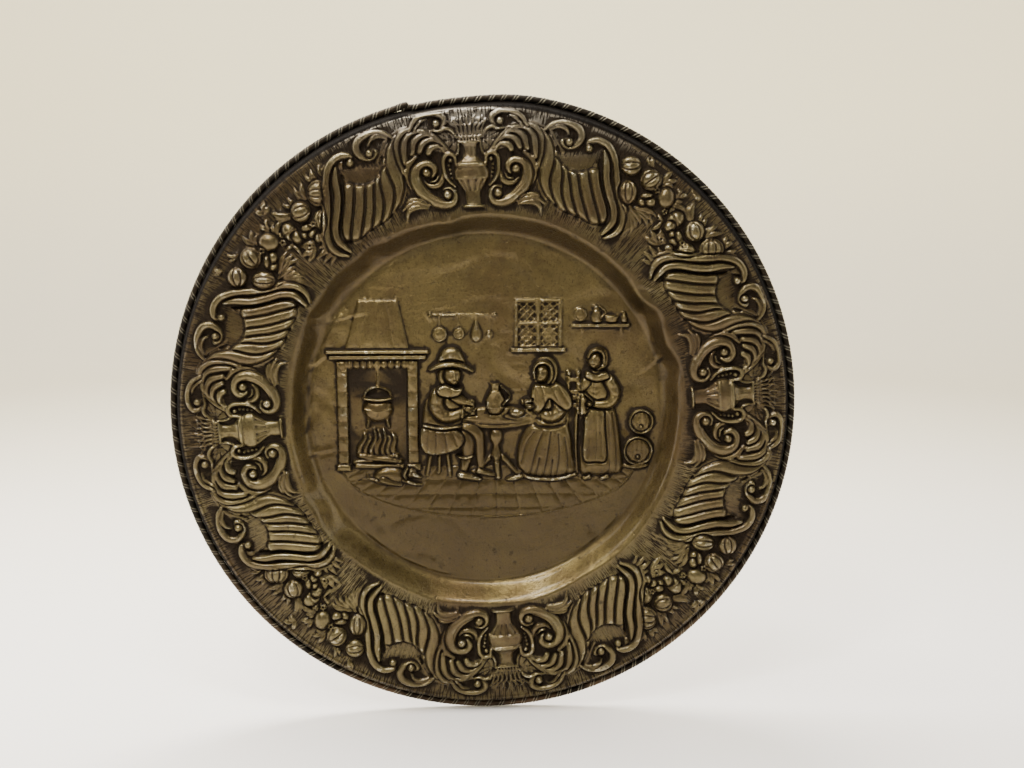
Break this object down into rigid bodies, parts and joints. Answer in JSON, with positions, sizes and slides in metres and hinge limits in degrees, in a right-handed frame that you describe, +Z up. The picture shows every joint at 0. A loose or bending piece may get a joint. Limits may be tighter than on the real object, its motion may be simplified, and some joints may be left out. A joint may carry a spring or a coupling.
{
  "type": "relief plaque",
  "caption": "Round pressed brass wall plaque: a recessed picture in relief inside a wide border of urns, cornucopias and fruit, with a rope-twist rim.",
  "frame": {"origin": "centre of the flat back of the well, the rearmost plane, where the plaque lies against a wall", "axes": "+Y out of the back into the wall, so the front faces -Y; +Z up as hung; +X to the right seen from the front"},
  "size_m": [0.6592, 0.0335, 0.6592],
  "materials": {
    "aged_brass": "pressed and chased, olive-brown patina, rubbed bright on the high places",
    "dark_brass": "darkened rope twist, rubbed on its crests"
  },
  "bodies": {
    "root": {"embossed_dish": "aged_brass", "rope_rim": "dark_brass"}
  },
  "joints": []
}
